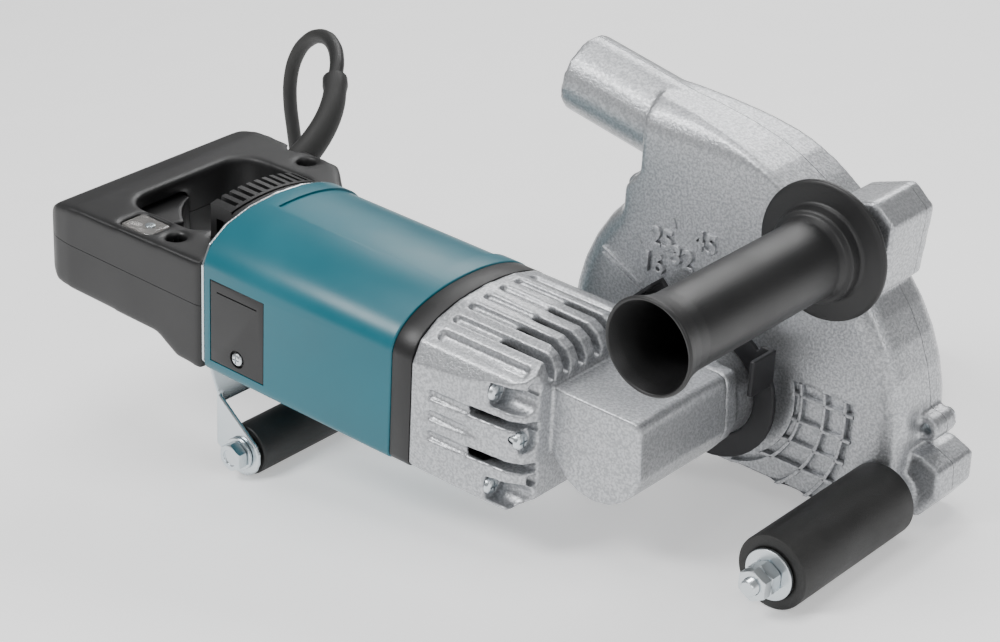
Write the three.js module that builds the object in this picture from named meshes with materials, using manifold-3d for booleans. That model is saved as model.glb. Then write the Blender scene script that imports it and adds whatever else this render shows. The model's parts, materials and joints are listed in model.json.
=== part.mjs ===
// Wall chaser: a mains power tool that cuts slots in masonry, as an assembly of separate pieces.
//
// The tool group is drawn in its own frame, in millimetres: the spindle axis is Y through the origin,
// +X runs forward from the handle to the guard, +Y away from the operator's left hand, +Z up, and the
// guard's near wall is the plane Y = 0. The whole tool is then pitched until both rollers touch the floor.
import * as THREE from "three";
import { mergeVertices } from "three/addons/utils/BufferGeometryUtils.js";
import Module from "manifold-3d";

const wasm = await Module();
wasm.setup();

// ---------------------------------------------------------------- driving dimensions

const GAP = 0.3; // clearance between pieces that touch
const M8 = 4; // radius of an M8 shank
const M5 = 2.5;

// Motor body: its section is drawn in (Y, Z), and the armature runs along X at Y = MOTOR_Y, Z = 0.
const MOTOR_Y = -68;
const MOTOR_HALF = 50; // half the section's width
const MOTOR_TOP = 40;
const MOTOR_BOTTOM = -38;
const MOTOR_REAR = -222;
const MOTOR_FRONT = -101;
const BAND_FRONT = -89;
const VENT_FRONT = -25;
const WALL = 4; // casting and moulding walls

// Gear head and bearing box, both about the spindle axis.
const HEAD_FRONT = 24;
const HEAD_TOP = 22;
const HEAD_ROUND = 26; // radius of the rounded underside
const HEAD_NEAR = -96;
const HEAD_FAR = -33;
const BOX_FAR = -24;
const NECK_R = 24;
const NECK_END = 6;
const CHAMBER_R = 19;

// Bevel stage: a small pinion on the armature drives the ring gear on the spindle.
const PINION_TEETH = 9;
const RING_TEETH = 30;
const MESH_R = 15.5; // distance from the spindle axis to the middle of the mesh
const PINION_R = (MESH_R * PINION_TEETH) / RING_TEETH;
const TOOTH_FACE = 2.4;
const TOOTH_HALF_HEIGHT = 0.75;

// Guard: a shallow drum round the discs, open below, with a dust duct leaving at a tangent.
const GUARD_R = 94;
const GUARD_WIDTH = 44;
const GUARD_WALL = 3.5;
const GUARD_SEAM = 27;
const GUARD_BOTTOM = -44.5;
const GUARD_EDGE = 8; // rounding of the drum's rim
const DUCT_MID = GUARD_WIDTH / 2 + 3;
const PORT_R = 19.5;
const PORT_END = [-111, 110.5];
const PORT_ROOT = [-45, 99];
const SCREW_LUGS = [137, 203, 2]; // degrees round the rim, from +X towards +Z

// Side grip, on a block at the guard's top front.
const GRIP_X = 51;
const GRIP_Z = 86;
const GRIP_R = 18;
const GRIP_BOLT_R = 6;

// Rollers.
const FRONT_ROLLER = { x: 90.5, z: -26.5, r: 17.5, near: -86, far: -1 };
const REAR_ROLLER = { x: -207, z: -83, r: 13, near: -104, far: -32 };

// D-handle: a flat loop behind the motor, split into two shells.
const HANDLE_FRONT = MOTOR_REAR - 2.3;
const HANDLE_REAR = -343;
const HANDLE_NEAR = -118;
const HANDLE_FAR = 16;
const HANDLE_SPLIT = -5;
const LOOP = { rear: -303, front: -246, near: -93, far: -12 };

// Mains lead: its route is in the row's frame, and the rest of it lies in one coil.
const CORD_R = 4;
const COIL_TURN_R = 46; // radius of the middle of the turns
const COIL_HALF_WIDTH = 12;
const COIL_HEIGHT = 33;

// ---------------------------------------------------------------- materials

function finish(color, roughness, metalness) {
  return new THREE.MeshStandardMaterial({ color, roughness, metalness });
}
const TEAL = finish(0x0f7485, 0.45, 0);
const BLACK = finish(0x242424, 0.6, 0);
const RUBBER = finish(0x2c2c2c, 0.85, 0);
const CASTING = finish(0xa5a8ac, 0.45, 0.5);
const ZINC = finish(0xc3ced3, 0.3, 1);
const STEEL = finish(0x9a9c9e, 0.35, 1);
const BLACK_STEEL = finish(0x1d1d1f, 0.45, 0.6);
const COPPER = finish(0xb4683a, 0.35, 1);
const CARBON = finish(0x303030, 0.8, 0);
const IRON = finish(0x6f7275, 0.5, 1);
const LENS = finish(0xe8e2df, 0.1, 0);

// ---------------------------------------------------------------- solid modelling helpers

// A three.js geometry as a manifold solid, with its faces turned outwards.
function solid(geometry) {
  const bare = geometry.index ? geometry.toNonIndexed() : geometry.clone();
  bare.deleteAttribute("normal");
  bare.deleteAttribute("uv");
  const merged = mergeVertices(bare, 1e-3);
  const index = merged.index.array;
  const faces = [];
  for (let i = 0; i < index.length; i += 3) {
    const [a, b, c] = [index[i], index[i + 1], index[i + 2]];
    if (a !== b && b !== c && c !== a) faces.push(a, b, c);
  }
  const build = (triVerts) => {
    const vertProperties = merged.attributes.position.array;
    const mesh = new wasm.Mesh({ numProp: 3, vertProperties, triVerts: new Uint32Array(triVerts) });
    return new wasm.Manifold(mesh);
  };
  const made = build(faces);
  return made.volume() > 0 ? made : build(faces.reverse());
}

const join = (first, ...others) => others.reduce((whole, part) => whole.add(part), first);
const cut = (first, ...others) => others.reduce((whole, part) => whole.subtract(part), first);
const meet = (first, ...others) => others.reduce((whole, part) => whole.intersect(part), first);
const range = (count) => Array.from({ length: count }, (_, i) => i);

function block(low, high) {
  const size = high.map((v, i) => v - low[i]);
  const middle = high.map((v, i) => (v + low[i]) / 2);
  return solid(new THREE.BoxGeometry(...size).translate(...middle));
}

const AXES = {
  x: new THREE.Vector3(1, 0, 0),
  y: new THREE.Vector3(0, 1, 0),
  z: new THREE.Vector3(0, 0, 1),
};
const FLATS = {
  x: new THREE.Matrix4().makeBasis(AXES.y, AXES.z, AXES.x), // outlines in (Y, Z)
  y: new THREE.Matrix4().makeBasis(AXES.x, AXES.z, AXES.y.clone().negate()), // outlines in (X, Z)
  z: new THREE.Matrix4(), // outlines in (X, Y)
};

function outline(points) {
  return new THREE.Shape(points.map(([u, v]) => new THREE.Vector2(u, v)));
}

// Extrudes an outline along an axis, between two places on it.
function prism(axis, shape, from, to, curveSegments = 4) {
  const drawn = Array.isArray(shape) ? outline(shape) : shape;
  const options = { depth: to - from, bevelEnabled: false, curveSegments };
  const geometry = new THREE.ExtrudeGeometry(drawn, options).applyMatrix4(FLATS[axis]);
  const start = axis === "y" ? to : from;
  return solid(geometry.translate(...AXES[axis].clone().multiplyScalar(start).toArray()));
}

// Turns a profile of [radius, place along the axis] about a line through `centre`.
function turned(axis, profile, centre = [0, 0, 0], sides = 24) {
  const points = profile.map(([r, along]) => new THREE.Vector2(r, along));
  const geometry = new THREE.LatheGeometry(points, sides);
  if (axis === "x") geometry.rotateZ(-Math.PI / 2);
  if (axis === "z") geometry.rotateX(Math.PI / 2);
  return solid(geometry.translate(...centre));
}

function rod(axis, r, from, to, centre, sides) {
  return turned(axis, [[0, from], [r, from], [r, to], [0, to]], centre, sides);
}

function ring(axis, outer, inner, from, to, centre, sides) {
  const profile = [[inner, from], [outer, from], [outer, to], [inner, to], [inner, from]];
  return turned(axis, profile, centre, sides);
}

// A rod from one point to another, thinning from r0 to r1.
function taper(start, end, r0, r1, sides = 16) {
  const a = new THREE.Vector3(...start);
  const b = new THREE.Vector3(...end);
  const geometry = new THREE.CylinderGeometry(r1, r0, a.distanceTo(b), sides);
  const turn = new THREE.Quaternion().setFromUnitVectors(AXES.y, b.clone().sub(a).normalize());
  const middle = a.clone().add(b).multiplyScalar(0.5);
  return solid(geometry.applyQuaternion(turn).translate(...middle.toArray()));
}

function roundedRectangle(u0, v0, u1, v1, r) {
  const shape = new THREE.Shape();
  shape.moveTo(u0 + r, v0).lineTo(u1 - r, v0);
  shape.absarc(u1 - r, v0 + r, r, -Math.PI / 2, 0);
  shape.absarc(u1 - r, v1 - r, r, 0, Math.PI / 2);
  shape.absarc(u0 + r, v1 - r, r, Math.PI / 2, Math.PI);
  shape.absarc(u0 + r, v0 + r, r, Math.PI, 1.5 * Math.PI);
  return shape;
}

function polar(r, degrees) {
  const angle = THREE.MathUtils.degToRad(degrees);
  return [r * Math.cos(angle), r * Math.sin(angle)];
}

// A pan-head screw whose shank runs from the head's underside at `seat`, the way that `way` points.
function screw(axis, centre, seat, way, shank, length) {
  const headR = shank * 1.75;
  const top = seat - way * shank * 1.1;
  const profile = [
    [0, top],
    [headR * 0.6, top],
    [headR, top + way * shank * 0.5],
    [headR, seat],
    [shank, seat],
    [shank, seat + way * length],
    [0, seat + way * length],
  ];
  return turned(axis, profile, centre, 8);
}

function hexagon(axis, corner, from, to, centre, bore = 0) {
  const body = rod(axis, corner, from, to, centre, 6);
  return bore ? cut(body, rod(axis, bore, from - 1, to + 1, centre, 12)) : body;
}

// ---------------------------------------------------------------- sections that several pieces share

// The motor body's section in (Y, Z), drawn in from its outside by `inset`.
function motorSection(inset = 0) {
  const half = MOTOR_HALF - inset;
  const [near, far] = [MOTOR_Y - half, MOTOR_Y + half];
  const [top, bottom] = [MOTOR_TOP - inset, MOTOR_BOTTOM + inset];
  const shoulder = 18 - inset * 0.5;
  const shape = new THREE.Shape();
  shape.moveTo(near + 4, bottom).lineTo(far - 4, bottom).lineTo(far, bottom + 4).lineTo(far, shoulder);
  shape.bezierCurveTo(far - 2, top - 7, MOTOR_Y + half * 0.52, top, MOTOR_Y, top);
  shape.bezierCurveTo(MOTOR_Y - half * 0.52, top, near + 2, top - 7, near, shoulder);
  shape.lineTo(near, bottom + 4);
  return shape;
}

const onMotor = (x = 0) => [x, MOTOR_Y, 0];

// The gear head's outline in (X, Z): square above, round about the spindle below.
function headOutline(grow, rear) {
  const round = HEAD_ROUND + grow;
  const shape = new THREE.Shape();
  shape.moveTo(rear, HEAD_TOP + grow).lineTo(HEAD_FRONT - 6, HEAD_TOP + grow);
  shape.quadraticCurveTo(HEAD_FRONT + grow, HEAD_TOP + grow, HEAD_FRONT + grow, HEAD_TOP - 6);
  shape.absarc(0, 0, round, -0.2, -Math.PI + 0.2, true);
  shape.lineTo(rear, round * Math.sin(-0.2));
  return shape;
}

// ---------------------------------------------------------------- motor body

const BRUSH = { rear: -217.5, front: -182, low: -31, high: 12.5, deep: 3, screwX: -199.5, screwZ: -24 };
const BRUSH_X = (BRUSH.rear + BRUSH.front) / 2 - 3;
const CORNER_SCREWS = [
  { x: -46, y: -111.5, z: 18 },
  { x: -31, y: -111, z: -1 },
  { x: -46, y: -111.5, z: -30 },
  { x: -44, y: -35, z: 24 },
];
const REAR_BEARING_R = 11;
const AIR_WAY_R = 31; // cooling air enters the motor's rear through a ring of this radius

// `side` is -1 for the near face and +1 for the far one.
const faceY = (side) => MOTOR_Y + side * MOTOR_HALF;
const between = (a, b) => [Math.min(a, b), Math.max(a, b)];

function brushPocket(side, slack) {
  const [y0, y1] = between(faceY(side) - side * (BRUSH.deep + slack), faceY(side) + side);
  return block([BRUSH.rear - slack, y0, BRUSH.low - slack], [BRUSH.front + slack, y1, BRUSH.high + slack]);
}

function motorHousing() {
  const front = MOTOR_FRONT - GAP;
  const seat = ring("x", REAR_BEARING_R + 4, REAR_BEARING_R + GAP, MOTOR_REAR, MOTOR_REAR + 9, onMotor());
  const airWay = ring("x", AIR_WAY_R, REAR_BEARING_R + 7, MOTOR_REAR - 1, MOTOR_REAR + 5, onMotor());
  const spokes = range(2).map((i) => {
    const half = i ? [40, 4] : [4, 40];
    return block([MOTOR_REAR, MOTOR_Y - half[0], -half[1]], [MOTOR_REAR + 4, MOTOR_Y + half[0], half[1]]);
  });
  const windows = [-1, 1].map((side) => brushPocket(side, GAP));
  const brushWays = [-1, 1].map((side) => {
    const [y0, y1] = between(faceY(side) - side * 12, faceY(side));
    return block([BRUSH_X - 8, y0, -8], [BRUSH_X + 8, y1, 8]);
  });
  const pads = [-1, 1].map((side) => {
    const [y0, y1] = between(faceY(side) - side * 10, faceY(side) - side * 0.5);
    return block([BRUSH.rear - 3, y0, BRUSH.low - 3], [BRUSH.front + 3, y1, BRUSH.high + 3]);
  });
  const screwWays = [-1, 1].map((side) => {
    const [from, to] = between(faceY(side) - side * 11, faceY(side));
    return rod("y", M5 * 0.8 + GAP, from, to, [BRUSH.screwX, 0, BRUSH.screwZ], 12);
  });
  const shell = cut(
    prism("x", motorSection(), MOTOR_REAR, front),
    prism("x", motorSection(WALL), MOTOR_REAR + WALL, front + 1),
    airWay,
  );
  const bored = cut(join(shell, ...pads), ...windows, ...brushWays, ...screwWays);
  const bearingWay = rod("x", REAR_BEARING_R + GAP, MOTOR_REAR - 1, MOTOR_REAR + 8, onMotor());
  return cut(join(bored, seat, ...spokes), bearingWay);
}

function brushCover(side) {
  const [headY0, headY1] = between(faceY(side) - side * 1.6, faceY(side) + side * 2);
  const screwAt = [BRUSH.screwX, 0, BRUSH.screwZ];
  const sink = rod("y", 4.6, headY0, headY1, screwAt, 16);
  const way = rod("y", M5 * 0.8 + GAP, faceY(side) - 6, faceY(side) + 6, screwAt, 12);
  const [y0, y1] = between(faceY(side) - side * BRUSH.deep, faceY(side));
  return cut(block([BRUSH.rear, y0, BRUSH.low], [BRUSH.front, y1, BRUSH.high]), sink, way);
}

function brushCoverScrew(side) {
  const seat = faceY(side) - side * (1.6 - GAP);
  return screw("y", [BRUSH.screwX, 0, BRUSH.screwZ], seat, -side, M5 * 0.8, 8);
}

const COMMUTATOR_R = 14;
const BRUSH_HALF = 3.7;
function carbonBrush(side) {
  const [y0, y1] = between(MOTOR_Y + side * (COMMUTATOR_R + GAP), MOTOR_Y + side * 34);
  const h = BRUSH_HALF;
  return block([BRUSH_X - h, y0, -h], [BRUSH_X + h, y1, h]);
}

// ---------------------------------------------------------------- motor internals

const SHAFT_R = 5;
const CORE = { rear: -178, front: -124, r: 22.5 };

function stator() {
  const flats = block([CORE.rear - 1, MOTOR_Y - 40, -32], [CORE.front + 1, MOTOR_Y + 40, 32]);
  return meet(ring("x", 40, CORE.r + 0.8, CORE.rear, CORE.front, onMotor(), 32), flats);
}

const fieldWinding = () => ring("x", 33, 26, CORE.front + GAP, CORE.front + 12, onMotor(), 24);

function armature() {
  const profile = [
    [0, -217],
    [SHAFT_R, -217],
    [SHAFT_R, CORE.rear - 12],
    [17, CORE.rear - 12],
    [19, CORE.rear],
    [CORE.r, CORE.rear],
    [CORE.r, CORE.front],
    [19, CORE.front],
    [17, CORE.front + 10],
    [SHAFT_R, CORE.front + 10],
    [SHAFT_R, -30],
    [3.2, -30],
    [3.2, -MESH_R + TOOTH_FACE],
    [0, -MESH_R + TOOTH_FACE],
  ];
  return turned("x", profile, onMotor(), 16);
}

function commutator() {
  return ring("x", COMMUTATOR_R, SHAFT_R + GAP, BRUSH_X - 8, BRUSH_X + 8, onMotor());
}

const FAN = { rear: -99.5, front: -88, r: 31 };

function coolingFan() {
  const hub = ring("x", 12, SHAFT_R + GAP, FAN.rear, FAN.front, onMotor());
  const plate = ring("x", FAN.r, SHAFT_R + GAP, FAN.rear, FAN.rear + 2, onMotor(), 32);
  const blades = range(9).map((i) => {
    const blade = new THREE.BoxGeometry(FAN.front - FAN.rear, FAN.r - 12.5, 1.6);
    blade.translate((FAN.front + FAN.rear) / 2, (FAN.r + 10) / 2, 0).rotateX((i * 2 * Math.PI) / 9);
    return solid(blade.translate(...onMotor()));
  });
  return join(hub, plate, ...blades);
}

const shaftBearing = (r, from, to) => ring("x", r, SHAFT_R + GAP, from, to, onMotor(), 16);
const spindleBearing = (r, shaft, from, to) => ring("y", r, shaft + GAP, from, to, [0, 0, 0], 16);

// Straight teeth stand out from the pinion's root; each is narrow, so that the pair runs free.
function pinion() {
  const rear = -MESH_R - TOOTH_FACE / 2;
  const root = PINION_R - TOOTH_HALF_HEIGHT;
  const body = ring("x", root, 3.5, rear, rear + TOOTH_FACE, onMotor(), PINION_TEETH * 2);
  const teeth = range(PINION_TEETH).map((i) => {
    const tooth = new THREE.BoxGeometry(TOOTH_FACE, 2 * TOOTH_HALF_HEIGHT + 0.3, 0.8);
    tooth.translate(rear + TOOTH_FACE / 2, PINION_R - 0.15, 0);
    tooth.rotateX((i * 2 * Math.PI) / PINION_TEETH);
    return solid(tooth.translate(...onMotor()));
  });
  return join(body, ...teeth);
}

// ---------------------------------------------------------------- gear housing

const FRONT_BEARING = { rear: -44, front: -33, r: 11 };
const LOCK_PIN_AT = [0, -43, 0]; // the shaft lock stands up from the gear head here
const VENT_SLOTS = [-97, -86.5, -76, -65, -54]; // Y of the open slots over the top
const SIDE_SLOTS = [5.5, -15.5]; // Z of the open slots in the near face
const FRONT_OPENINGS = [[-107, 24], [-106, -22]]; // (Y, Z) of the small ones in the front face

function ventShell() {
  const plan = [
    [BAND_FRONT, -118], [-60, -116.5], [-34, -114], [-28, -111], [VENT_FRONT, -105],
    [VENT_FRONT, -31], [-29, -25], [-60, -19.5], [BAND_FRONT, -18],
  ];
  const side = [
    [BAND_FRONT, -38], [-34, -38], [VENT_FRONT, -32], [VENT_FRONT, 29], [-28, 35], [-34, 38.5],
    [BAND_FRONT, 40],
  ];
  return meet(
    prism("x", motorSection(), BAND_FRONT, VENT_FRONT),
    prism("z", plan, -60, 60),
    prism("y", side, -130, 0),
  );
}

function ventCuts() {
  const over = VENT_SLOTS.map((y) => block([-56, y - 2.2, 25], [VENT_FRONT + 1, y + 2.2, 45]));
  const beside = SIDE_SLOTS.map((z) => block([-57, -119, z - 2.2], [VENT_FRONT + 1, -104, z + 2.2]));
  const front = FRONT_OPENINGS.map(([y, z]) => {
    return block([-45, y - 2.5, z - 3], [VENT_FRONT + 1, y + 2.5, z + 3]);
  });
  return [...over, ...beside, ...front];
}

function gearHousing() {
  const cavity = prism("x", motorSection(WALL + 1), BAND_FRONT - 1, -48);
  const head = prism("y", headOutline(0, VENT_FRONT - 3), HEAD_NEAR, HEAD_FAR);
  const bosses = CORNER_SCREWS.map(({ x, y, z }) => rod("x", 6, BAND_FRONT, x, [0, y, z], 12));
  const shell = meet(join(cut(ventShell(), cavity), ...bosses), ventShell());
  const seats = CORNER_SCREWS.map(({ x, y, z }) => rod("x", 6.5, x, x + 30, [0, y, z], 16));
  const shanks = CORNER_SCREWS.map(({ y, z }) => rod("x", M5 + GAP, BAND_FRONT - 1, -20, [0, y, z], 12));
  const bearingSeat = rod("x", FRONT_BEARING.r + GAP, -60, FRONT_BEARING.front, onMotor());
  const shaftWay = rod("x", 7, -60, 0, onMotor());
  const chamber = rod("y", CHAMBER_R, HEAD_NEAR + 15, HEAD_FAR + 1, [0, 0, 0], 32);
  const spindleSeat = rod("y", 9 + GAP, HEAD_NEAR + 5, HEAD_NEAR + 16);
  const lockWay = rod("z", 2.9, 0, HEAD_TOP + 1, LOCK_PIN_AT, 16);
  const whole = cut(join(shell, head), ...ventCuts(), ...seats, ...shanks);
  return cut(whole, bearingSeat, shaftWay, chamber, spindleSeat, lockWay);
}

function baffleRing() {
  const fanWay = rod("x", FAN.r + 2, MOTOR_FRONT - 1, BAND_FRONT + 1, onMotor(), 32);
  return cut(prism("x", motorSection(0.4), MOTOR_FRONT, BAND_FRONT - GAP), fanWay);
}

function cornerScrew({ x, y, z }) {
  return screw("x", [0, y, z], x + GAP, -1, M5, 34);
}

function bearingBox() {
  const plate = prism("y", headOutline(-0.6, VENT_FRONT + 0.5), HEAD_FAR + GAP, BOX_FAR);
  const neck = rod("y", NECK_R, BOX_FAR - 1, NECK_END, [0, 0, 0], 40);
  const seat = rod("y", 17 + GAP, HEAD_FAR, -16, [0, 0, 0], 32);
  return cut(join(plate, neck), seat, rod("y", 11, -17, NECK_END + 1));
}

function shaftLockButton() {
  const [tip, cap, top] = [19.6, HEAD_TOP + 3.4, HEAD_TOP + 8];
  const profile = [[0, tip], [2.5, tip], [2.5, cap], [6, cap], [6, top - 1], [5, top], [0, top]];
  return turned("z", profile, LOCK_PIN_AT, 16);
}

// ---------------------------------------------------------------- spindle group

function spindle() {
  const profile = [
    [0, -90], [5, -90], [5, -80], [8, -80], [8, -18], [9.5, -18], [9.5, 8], [8, 8], [8, 34],
    [7, 36], [0, 36],
  ];
  return turned("y", profile, [0, 0, 0], 16);
}

function ringGear() {
  const topY = MOTOR_Y + PINION_R - TOOTH_HALF_HEIGHT + 0.35;
  const rootY = MOTOR_Y + PINION_R + TOOTH_HALF_HEIGHT + 0.35;
  const disc = ring("y", MESH_R + 2.2, 8 + GAP, rootY, rootY + 6, [0, 0, 0], 30);
  const hub = ring("y", 13, 8 + GAP, rootY + 5, rootY + 13, [0, 0, 0], 24);
  const teeth = range(RING_TEETH).map((i) => {
    const tooth = new THREE.BoxGeometry(TOOTH_FACE + 1, rootY - topY + 0.3, 0.85);
    tooth.translate(MESH_R, (topY + rootY + 0.3) / 2, 0);
    return solid(tooth.rotateY(((i + 0.5) * 2 * Math.PI) / RING_TEETH));
  });
  return join(disc, hub, ...teeth);
}

const DISC_STACK = { flange: [8.3, 14], outer: [14.3, 20] };

const innerFlange = () => ring("y", 21, 8 + GAP, ...DISC_STACK.flange, [0, 0, 0], 32);

function clampNut() {
  const body = ring("y", 20, 8 + GAP, ...DISC_STACK.outer, [0, 0, 0], 32);
  const pinHoles = [0, 90, 180, 270].map((a) => {
    const [x, z] = polar(14, a);
    return rod("y", 2.4, DISC_STACK.outer[1] - 3, DISC_STACK.outer[1] + 1, [x, 0, z], 10);
  });
  return cut(body, ...pinHoles);
}

// ---------------------------------------------------------------- guard

// Turns about the spindle axis: the drum's rounded profile, drawn in by `inset`.
function drum(inset) {
  const r = GUARD_R - inset;
  const edge = GUARD_EDGE - inset * 0.6;
  const [near, far] = [inset, GUARD_WIDTH - inset];
  const soft = edge * 0.3;
  const profile = [
    [0, near], [r - edge, near], [r - soft, near + soft], [r, near + edge],
    [r, far - edge], [r - soft, far - soft], [r - edge, far], [0, far],
  ];
  return turned("y", profile, [0, 0, 0], 40);
}

// The duct's crown in (X, Z), from the port's root forward and down to the drum's rim.
function ductSide(inset) {
  const shape = new THREE.Shape();
  shape.moveTo(-66, 40).lineTo(-66 + inset, 74 + inset);
  shape.lineTo(-58 + inset, 84).lineTo(-58 + inset, 120 - inset);
  shape.quadraticCurveTo(-10, 117 - inset, 12, 107 - inset);
  shape.quadraticCurveTo(40, 94 - inset, 62, 70 - inset);
  shape.lineTo(40, 40);
  return shape;
}

function duct(inset) {
  const section = new THREE.Shape();
  const [near, far, top] = [inset, GUARD_WIDTH - inset, 121 - inset];
  const round = 17 - inset;
  section.moveTo(near, 30).lineTo(far, 30).lineTo(far, top - round);
  section.absarc(far - round, top - round, round, 0, Math.PI / 2);
  section.absarc(near + round, top - round, round, Math.PI / 2, Math.PI);
  return meet(prism("x", section, -70, 66), prism("y", ductSide(inset), -1, GUARD_WIDTH + 1));
}

function port(r) {
  const [x0, z0] = PORT_END;
  const [x1, z1] = PORT_ROOT;
  return taper([x0, DUCT_MID, z0], [x1, DUCT_MID, z1], r, r, 28);
}

const FOOT = [[72, -12], [98, -8], [109, -13], [110, -26], [101, -39], [86, -42.5], [64, -43]];
const BLOCK = [[34, 78], [46, 104], [68, 112], [79, 103], [76, 70], [60, 58]];

function guardOutside() {
  const foot = prism("y", FOOT, 14, GUARD_WIDTH);
  const gripBlock = prism("y", BLOCK, 0, 34);
  const gripBoss = rod("y", 13, -7.7, 1, [GRIP_X, 0, GRIP_Z], 20);
  const lugs = SCREW_LUGS.map((a) => {
    const [x, z] = polar(GUARD_R + 3, a);
    return rod("y", 6.5, GUARD_SEAM - 9, GUARD_SEAM + 9, [x, 0, z], 16);
  });
  return join(drum(0), duct(0), port(PORT_R), foot, gripBlock, gripBoss, ...lugs);
}

function guardInside() {
  const along = new THREE.Vector3(PORT_END[0] - PORT_ROOT[0], 0, PORT_END[1] - PORT_ROOT[1]);
  const portTip = along.setLength(5);
  const mouth = taper(
    [PORT_END[0] + portTip.x, DUCT_MID, PORT_END[1] + portTip.z],
    [PORT_ROOT[0], DUCT_MID, PORT_ROOT[1]], PORT_R - 3, PORT_R - 3, 28,
  );
  const below = block([-120, -10, -120], [120, 60, GUARD_BOTTOM]);
  return [drum(GUARD_WALL), duct(GUARD_WALL), mouth, below];
}

function ribbedFace() {
  const pocket = ring("y", 70, 40, -1, 1.6, [0, 0, 0], 40);
  const sector = prism("y", [[8, 12], [80, 12], [80, -60], [8, -60]], -2, 3);
  const arcs = [54.5, 65.5].map((r) => ring("y", r + 2, r, -1, 3, [0, 0, 0], 40));
  const bars = range(4).map((i) => block([8, -1, -i * 12 - 1], [80, 3, -i * 12 + 1]));
  return cut(meet(pocket, sector), ...arcs, ...bars);
}

function guardBored() {
  const neckWay = rod("y", NECK_R + 0.4, -1, 20, [0, 0, 0], 40);
  const axleWay = rod("y", M8 + GAP, -1, 50, [FRONT_ROLLER.x, 0, FRONT_ROLLER.z], 16);
  const boltWay = rod("y", GRIP_BOLT_R + GAP, -10, 16, [GRIP_X, 0, GRIP_Z], 16);
  const screwWays = SCREW_LUGS.map((a) => {
    const [x, z] = polar(GUARD_R + 3, a);
    const headWay = rod("y", 5.2, GUARD_SEAM + 9, 60, [x, 0, z], 12);
    return join(rod("y", M5 + GAP, 10, 60, [x, 0, z], 10), headWay);
  });
  const axleBoss = rod("y", 8, 0, GUARD_WIDTH, [FRONT_ROLLER.x, 0, FRONT_ROLLER.z], 16);
  const hollow = join(cut(guardOutside(), ...guardInside()), axleBoss);
  return cut(hollow, ribbedFace(), neckWay, axleWay, boltWay, ...screwWays);
}

const GUARD = guardBored();
const guardSide = (from, to) => meet(GUARD, block([-150, from, -130], [150, to, 150]));
const guardBody = () => guardSide(-10, GUARD_SEAM);
const guardCover = () => guardSide(GUARD_SEAM + GAP, 60);

function guardScrew(degrees) {
  const [x, z] = polar(GUARD_R + 3, degrees);
  return screw("y", [x, 0, z], GUARD_SEAM + 9 + GAP, -1, M5, 14);
}

function sideGrip() {
  const r = GRIP_R;
  const profile = [
    [GRIP_BOLT_R + GAP, -8], [32.5, -8], [32.5, -10.5], [22, -12.5], [21, -18], [r, -22], [r, -116],
    [r + 1.6, -126], [r + 4, -134], [r + 2.4, -134.4], [r, -128], [15, -116], [13.5, -68],
    [GRIP_BOLT_R + GAP, -64], [GRIP_BOLT_R + GAP, -8],
  ];
  return turned("y", profile, [GRIP_X, 0, GRIP_Z], 24);
}

const gripBolt = () => rod("y", GRIP_BOLT_R, -60, 15, [GRIP_X, 0, GRIP_Z], 16);

// ---------------------------------------------------------------- depth lever

function depthLever() {
  const [y0, y1] = [-12, -9.5];
  const hub = ring("y", 36, NECK_R + 0.5, y0, y1, [0, 0, 0], 40);
  const rearArm = prism("y", [[-18, 28], [-28, 22], [-42, 30], [-31, 42]], y0, y1);
  const rearEar = block([-42, -20, 27], [-39.5, y1, 33]);
  const rearTop = prism("y", [[-42, 31], [-42, 33], [-32, 43], [-31, 41.5]], -20, y1);
  const frontArm = prism("y", [[22, 22], [30, 12], [33, 12], [33, 30], [26, 30]], y0, y1);
  const frontEar = block([30.5, -27, 12], [33, y1, 30]);
  return join(hub, rearArm, rearEar, rearTop, frontArm, frontEar);
}

// ---------------------------------------------------------------- rollers and their bracket

const onFront = [FRONT_ROLLER.x, 0, FRONT_ROLLER.z];
const onRear = [REAR_ROLLER.x, 0, REAR_ROLLER.z];
const roller = ({ r, near, far }, centre) => ring("y", r, M8 + 0.5, near, far, centre, 32);
const CHEEK = { near: -108, far: -28, thick: 2 };

function frontAxle() {
  return join(rod("y", M8, -104, 45, onFront, 12), hexagon("y", 7.5, 44.3, 49.5, onFront));
}

// The washer and both nuts on the axle's near end, each placed by its distance from the roller.
const NEAR_END = FRONT_ROLLER.near;
const frontWasher = () => ring("y", 12, M8 + GAP, NEAR_END - 2.5, NEAR_END - 0.5, onFront, 24);
const frontNut = () => hexagon("y", 7.8, NEAR_END - 9.3, NEAR_END - 2.8, onFront, M8 + GAP);
const frontLockNut = () => hexagon("y", 7.8, NEAR_END - 14.5, NEAR_END - 9.6, onFront, M8 + GAP);

function rollerBracket() {
  const x0 = MOTOR_REAR - 2;
  const x1 = MOTOR_REAR - GAP;
  const plate = cut(prism("x", motorSection(0.2), x0, x1), rod("x", 30, x0 - 1, x1 + 1, onMotor(), 32));
  const tonguePoints = [[-116, -30], [-108, -56], [-108, -62], [-28, -62], [-28, -56], [-20, -30]];
  const tongue = prism("x", tonguePoints, x0, x1);
  const cheeks = [CHEEK.near, CHEEK.far - CHEEK.thick].map((y) => {
    const shape = new THREE.Shape();
    shape.moveTo(x0, -56).lineTo(x1, -56).lineTo(-197, -75.5);
    shape.absarc(REAR_ROLLER.x, REAR_ROLLER.z, 12.5, 0.64, -2.6, true);
    shape.lineTo(x0, -84);
    return prism("y", shape, y, y + CHEEK.thick);
  });
  const boltWay = rod("y", M8 + GAP, -120, 0, onRear, 16);
  return cut(join(plate, tongue, ...cheeks), boltWay);
}

function rearBolt() {
  const head = hexagon("y", 7.5, CHEEK.near - 7.6, CHEEK.near - 2.2, onRear);
  return join(rod("y", M8, CHEEK.near - 2.3, -21, onRear, 16), head);
}

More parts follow.
